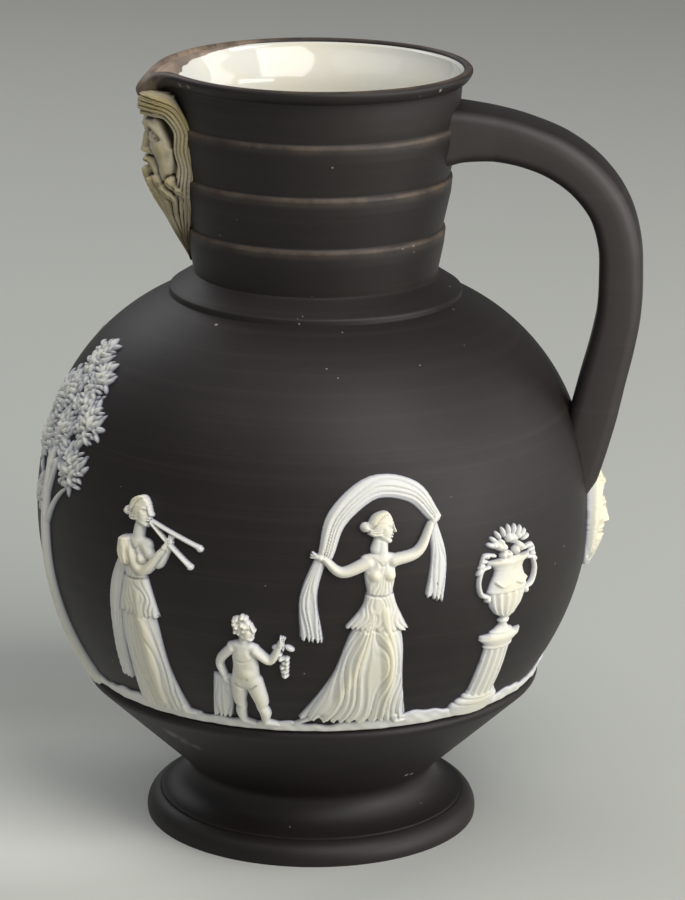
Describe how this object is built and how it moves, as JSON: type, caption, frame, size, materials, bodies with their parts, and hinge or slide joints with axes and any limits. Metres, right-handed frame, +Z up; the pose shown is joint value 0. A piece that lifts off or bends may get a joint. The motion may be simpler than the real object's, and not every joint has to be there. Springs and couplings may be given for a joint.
{
  "type": "jug",
  "caption": "Stoneware jug with a globe body, ledged neck, pulled spout, loop handle, turned foot, white glazed inside and applied relief figures.",
  "frame": {"origin": "on the axis of the thrown body, at the plane of the foot's flat face", "axes": "+Z up along the body's axis, +X towards the handle, +Y to the side away from the pictured front"},
  "size_m": [0.1554, 0.1453, 0.2],
  "materials": {
    "black_ware": "dry, unglazed, matte",
    "white_relief": "dry, unglazed, thin edges slightly translucent",
    "buff_relief": "dry, unglazed, brown in its hollows",
    "white_glaze": "glossy"
  },
  "bodies": {
    "root": {"globe_body": "black_ware", "neck": "black_ware", "foot": "black_ware", "handle": "black_ware", "lining": "white_glaze", "ground_strips": "white_relief", "spout_mask": "buff_relief", "handle_mask": "white_relief", "piper": "white_relief", "grape_child": "white_relief", "veil_dancer": "white_relief", "vase_column": "white_relief", "laurel_tree": "white_relief", "lyre_player": "white_relief", "bird_child": "white_relief", "urn_bearer": "white_relief", "olive_tree": "white_relief"}
  },
  "joints": []
}
